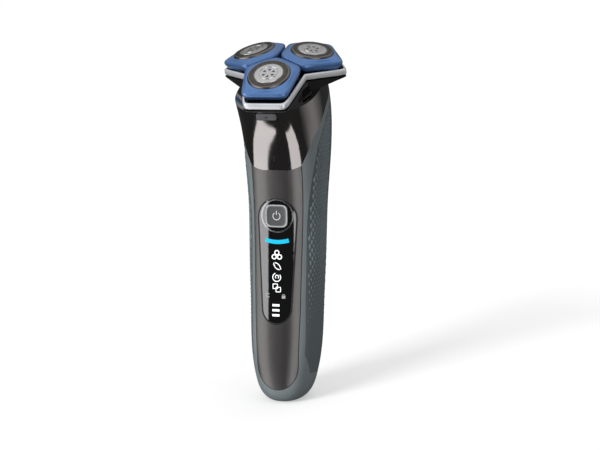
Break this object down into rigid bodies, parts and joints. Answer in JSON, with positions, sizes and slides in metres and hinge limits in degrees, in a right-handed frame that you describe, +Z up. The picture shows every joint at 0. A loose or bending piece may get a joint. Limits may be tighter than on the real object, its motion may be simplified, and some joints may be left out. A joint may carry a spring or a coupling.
{
  "type": "electric shaver",
  "caption": "Cordless rotary shaver: flared handle with a front display window and power button, and a tilted shaving unit with flexing round heads over an opening hair chamber.",
  "frame": {"origin": "centre line of the handle at its foot, on the face that it stands on", "axes": "+Z up the handle, -Y towards the front panel and display, +X to the viewer's right when facing the front"},
  "size_m": [0.0602, 0.0612, 0.1704],
  "materials": {
    "panel": "satin metallic lacquer",
    "frame_grey": "soft-touch grey",
    "grip_slate": "textured soft-touch slate",
    "rear_grey": "fine satin grain",
    "collar_black": "polished black",
    "window_black": "polished black window",
    "button_grey": "brushed grey lacquer",
    "ring_silver": "polished",
    "rim_silver": "satin silver lacquer",
    "holder_blue": "metallic blue lacquer",
    "cap_bronze": "dark turned steel",
    "disc_silver": "turned bright steel",
    "blade_steel": "ground",
    "chamber_black": "fine satin",
    "inner_black": "moulded",
    "gear_white": "moulded acetal",
    "shaft_steel": "ground",
    "board_green": "solder mask",
    "cell_sleeve": "shrink sleeve",
    "contact_brass": "plated",
    "motor_can": "plated can",
    "release_grey": "satin grey"
  },
  "bodies": {
    "handle": {"front_panel": "panel", "side_grip_right": "grip_slate", "side_grip_left": "grip_slate", "rear_shell": "rear_grey", "charging_socket": "inner_black", "charging_pins": "contact_brass", "grip_frame": "frame_grey", "button_ring": "ring_silver", "display_window": "window_black", "main_board": "board_green", "power_switch": "inner_black", "display_board": "board_green", "display_standoffs": "inner_black", "battery": "cell_sleeve", "battery_contacts": "contact_brass", "motor": "motor_can", "chassis": "inner_black", "gear_plate": "inner_black", "drive_deck": "inner_black", "hair_chamber": "chamber_black", "hinge_pin": "shaft_steel", "collar": "collar_black", "board_screws": "shaft_steel", "spindle_seals": "grip_slate"},
    "power_button": {"power_button": "button_grey"},
    "release_button": {"release_button": "release_grey"},
    "drive_train": {"central_gear": "gear_white", "motor_shaft": "shaft_steel"},
    "shaving_unit": {"head_carrier": "chamber_black", "head_rim": "rim_silver"},
    "drive_1": {"drive_gear_1": "gear_white", "drive_spindle_1": "shaft_steel"},
    "drive_2": {"drive_gear_2": "gear_white", "drive_spindle_2": "shaft_steel"},
    "drive_3": {"drive_gear_3": "gear_white", "drive_spindle_3": "shaft_steel"},
    "gimbal_1": {"gimbal_ring_1": "inner_black"},
    "head_1": {"head_holder_1": "holder_blue", "shaving_cap_1": "cap_bronze", "cap_disc_1": "disc_silver"},
    "cutter_1": {"cutter_1": "blade_steel"},
    "gimbal_2": {"gimbal_ring_2": "inner_black"},
    "head_2": {"head_holder_2": "holder_blue", "shaving_cap_2": "cap_bronze", "cap_disc_2": "disc_silver"},
    "cutter_2": {"cutter_2": "blade_steel"},
    "gimbal_3": {"gimbal_ring_3": "inner_black"},
    "head_3": {"head_holder_3": "holder_blue", "shaving_cap_3": "cap_bronze", "cap_disc_3": "disc_silver"},
    "cutter_3": {"cutter_3": "blade_steel"}
  },
  "joints": [
    {"name": "power_press", "type": "slide", "parent": "handle", "child": "power_button", "axis": [0, 1, 0], "range_m": [0, 0.0006], "stiffness_N_per_m": 800, "springref_m": -0.0003},
    {"name": "release_press", "type": "slide", "parent": "handle", "child": "release_button", "axis": [0, 0.9135, 0.4067], "range_m": [0, 0.001], "stiffness_N_per_m": 600, "springref_m": -0.0005},
    {"name": "unit_opening", "type": "hinge", "parent": "handle", "child": "shaving_unit", "pos_m": [0, 0.02207, 0.16371], "axis": [-1, 0, 0], "range_deg": [0, 75]},
    {"name": "motor_spin", "type": "hinge", "parent": "handle", "child": "drive_train", "pos_m": [0, 0.00294, 0.14523], "axis": [0, -0.4067, 0.9135], "continuous": true},
    {"name": "drive_1_spin", "type": "hinge", "parent": "handle", "child": "drive_1", "pos_m": [0, -0.0115, 0.1388], "axis": [0, -0.4067, 0.9135], "continuous": true},
    {"name": "drive_2_spin", "type": "hinge", "parent": "handle", "child": "drive_2", "pos_m": [0.01368, 0.01015, 0.14844], "axis": [0, -0.4067, 0.9135], "continuous": true},
    {"name": "drive_3_spin", "type": "hinge", "parent": "handle", "child": "drive_3", "pos_m": [-0.01368, 0.01015, 0.14844], "axis": [0, -0.4067, 0.9135], "continuous": true},
    {"name": "gimbal_1_tilt", "type": "hinge", "parent": "shaving_unit", "child": "gimbal_1", "pos_m": [0, -0.01611, 0.15094], "axis": [1, 0, 0], "range_deg": [-4.5, 4.5], "stiffness_Nm_per_rad": 0.05},
    {"name": "head_1_tilt", "type": "hinge", "parent": "gimbal_1", "child": "head_1", "pos_m": [0, -0.01611, 0.15094], "axis": [0, -0.807, -0.5906], "range_deg": [-4, 4], "stiffness_Nm_per_rad": 0.05},
    {"name": "cutter_1_spin", "type": "hinge", "parent": "head_1", "child": "cutter_1", "pos_m": [0, -0.01859, 0.15433], "axis": [0, -0.5906, 0.807], "continuous": true},
    {"name": "gimbal_2_tilt", "type": "hinge", "parent": "shaving_unit", "child": "gimbal_2", "pos_m": [0.01306, 0.00455, 0.16014], "axis": [-0.5, 0.7912, 0.3522], "range_deg": [-4.5, 4.5], "stiffness_Nm_per_rad": 0.05},
    {"name": "head_2_tilt", "type": "hinge", "parent": "gimbal_2", "child": "head_2", "pos_m": [0.01306, 0.00455, 0.16014], "axis": [0.8465, 0.5324, 0.0057], "range_deg": [-4, 4], "stiffness_Nm_per_rad": 0.05},
    {"name": "cutter_2_spin", "type": "hinge", "parent": "head_2", "child": "cutter_2", "pos_m": [0.01383, 0.00329, 0.16407], "axis": [0.183, -0.301, 0.9359], "continuous": true},
    {"name": "gimbal_3_tilt", "type": "hinge", "parent": "shaving_unit", "child": "gimbal_3", "pos_m": [-0.01306, 0.00455, 0.16014], "axis": [-0.5, -0.7912, -0.3522], "range_deg": [-4.5, 4.5], "stiffness_Nm_per_rad": 0.05},
    {"name": "head_3_tilt", "type": "hinge", "parent": "gimbal_3", "child": "head_3", "pos_m": [-0.01306, 0.00455, 0.16014], "axis": [-0.8465, 0.5324, 0.0057], "range_deg": [-4, 4], "stiffness_Nm_per_rad": 0.05},
    {"name": "cutter_3_spin", "type": "hinge", "parent": "head_3", "child": "cutter_3", "pos_m": [-0.01383, 0.00329, 0.16407], "axis": [-0.183, -0.301, 0.9359], "continuous": true}
  ],
  "couplings": [
    {"joint": "drive_1_spin", "follows": "motor_spin", "ratio": -3.5},
    {"joint": "drive_2_spin", "follows": "motor_spin", "ratio": -3.5},
    {"joint": "drive_3_spin", "follows": "motor_spin", "ratio": -3.5},
    {"joint": "cutter_1_spin", "follows": "motor_spin", "ratio": -3.5},
    {"joint": "cutter_2_spin", "follows": "motor_spin", "ratio": -3.5},
    {"joint": "cutter_3_spin", "follows": "motor_spin", "ratio": -3.5}
  ]
}
